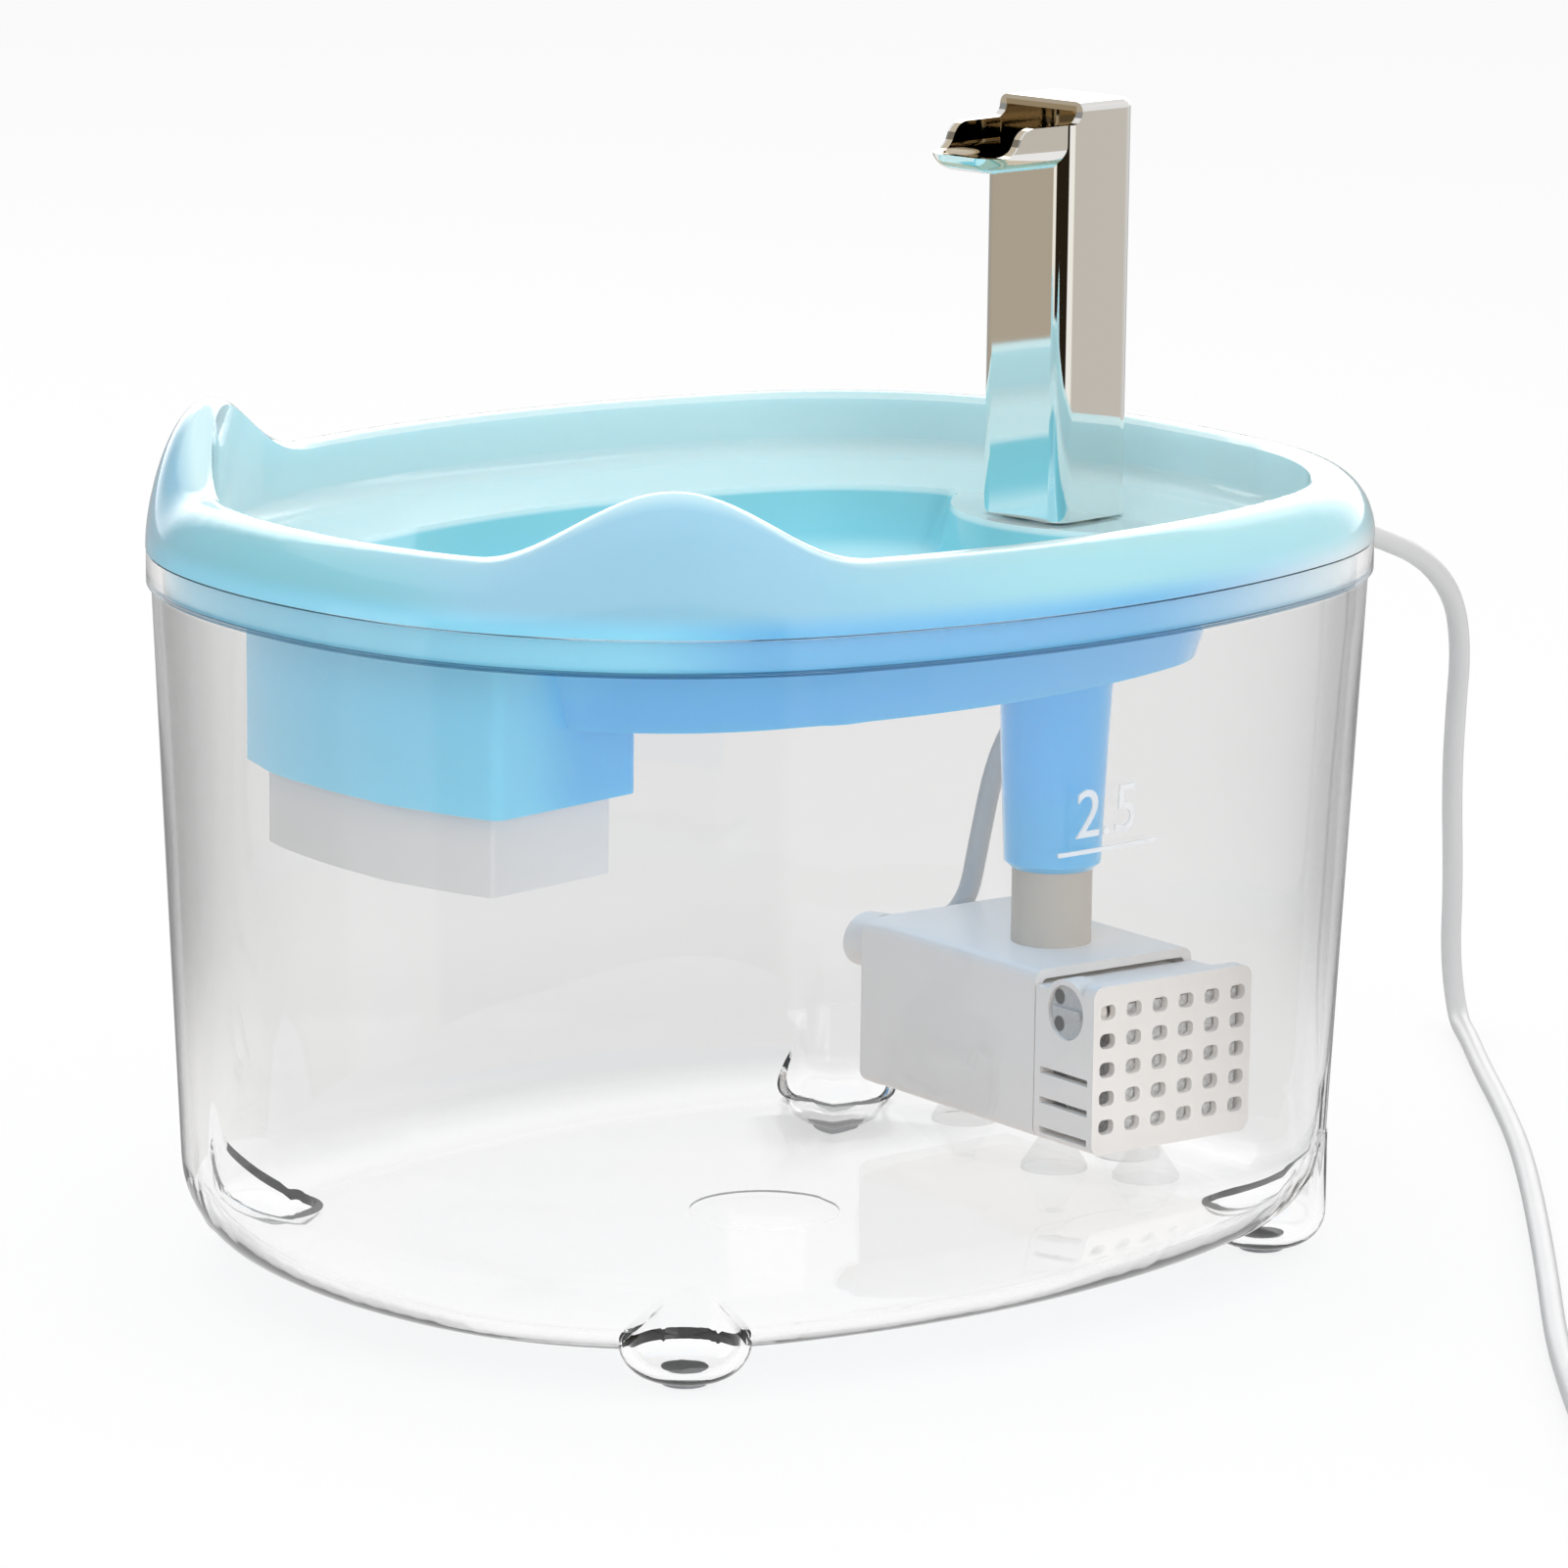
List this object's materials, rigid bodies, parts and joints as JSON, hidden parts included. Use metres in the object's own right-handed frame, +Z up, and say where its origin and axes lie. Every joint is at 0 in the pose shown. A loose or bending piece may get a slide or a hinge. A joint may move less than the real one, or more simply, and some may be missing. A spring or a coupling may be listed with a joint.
{
  "type": "pet water fountain",
  "caption": "Pet drinking fountain: clear oval tank, blue tray with raised ears and a bowl, tall spout faucet, filter cartridge and submerged pump with a cord.",
  "frame": {"origin": "under the middle of the tank, on the surface that the fountain stands on", "axes": "+X towards the faucet's end, +Y across it, +Z up"},
  "size_m": [0.35, 0.3949, 0.2104],
  "materials": {
    "clear_plastic": "clear, polished",
    "pad_rubber": "matt",
    "blue_plastic": "semi-gloss",
    "chrome_plating": "mirror",
    "black_rubber": "matt",
    "white_plastic": "satin",
    "filter_foam": "open-cell foam",
    "filter_granules": "loose carbon and resin granules",
    "fibre_pad": "non-woven",
    "pump_plastic": "semi-gloss",
    "core_steel": "lacquered laminations",
    "copper_wire": "enamelled",
    "potting_resin": "cast",
    "inlet_sponge": "open-cell foam",
    "ferrite": "matt",
    "shaft_steel": "ground",
    "clear_rubber": "translucent",
    "cord_jacket": "satin",
    "plug_plastic": "satin",
    "plug_metal": "nickel plated"
  },
  "bodies": {
    "base": {"tank": "clear_plastic", "foot_pad_1": "pad_rubber", "foot_pad_2": "pad_rubber", "foot_pad_3": "pad_rubber", "foot_pad_4": "pad_rubber", "pump_housing": "pump_plastic", "motor_core": "core_steel", "motor_coil": "copper_wire", "motor_potting": "potting_resin", "chamber_cover": "pump_plastic", "front_bush": "black_rubber", "rear_bush": "black_rubber", "impeller_shaft": "shaft_steel", "suction_cup_1": "clear_rubber", "suction_cup_2": "clear_rubber", "suction_cup_3": "clear_rubber", "outlet_sleeve": "clear_rubber", "cord_gland": "pump_plastic", "power_cord": "cord_jacket", "cord_coil": "cord_jacket", "plug_lead": "cord_jacket", "plug_boot": "cord_jacket", "plug_shell": "plug_plastic", "plug_contact": "plug_metal"},
    "tray": {"tray": "blue_plastic"},
    "faucet": {"faucet": "chrome_plating", "faucet_seal": "black_rubber"},
    "cartridge": {"filter_case": "white_plastic", "filter_lid": "white_plastic", "filter_foam": "filter_foam", "filter_granules": "filter_granules", "filter_fibre_pad": "fibre_pad"},
    "rotor": {"impeller": "white_plastic", "rotor_magnet": "ferrite"},
    "grille_cap": {"grille_cap": "pump_plastic", "inlet_sponge": "inlet_sponge", "suction_cup_4": "clear_rubber"},
    "flow_dial": {"flow_dial": "pump_plastic"}
  },
  "joints": [
    {"name": "tray_lift", "type": "slide", "parent": "base", "child": "tray", "axis": [0, 0, 1], "range_m": [0, 0.08]},
    {"name": "faucet_pull", "type": "slide", "parent": "tray", "child": "faucet", "axis": [0, 0, 1], "range_m": [0, 0.022]},
    {"name": "cartridge_drop", "type": "slide", "parent": "tray", "child": "cartridge", "axis": [0, 0, -1], "range_m": [0, 0.03]},
    {"name": "impeller_spin", "type": "hinge", "parent": "base", "child": "rotor", "pos_m": [0.076, 0, 0.031], "axis": [0.0872, 0.9962, 0], "continuous": true},
    {"name": "grille_cap_pull", "type": "slide", "parent": "base", "child": "grille_cap", "axis": [-0.0872, -0.9962, 0], "range_m": [0, 0.016]},
    {"name": "flow_dial_turn", "type": "hinge", "parent": "grille_cap", "child": "flow_dial", "pos_m": [0.05459, -0.02674, 0.0421], "axis": [0.9962, -0.0872, 0], "range_deg": [-60, 60]}
  ]
}
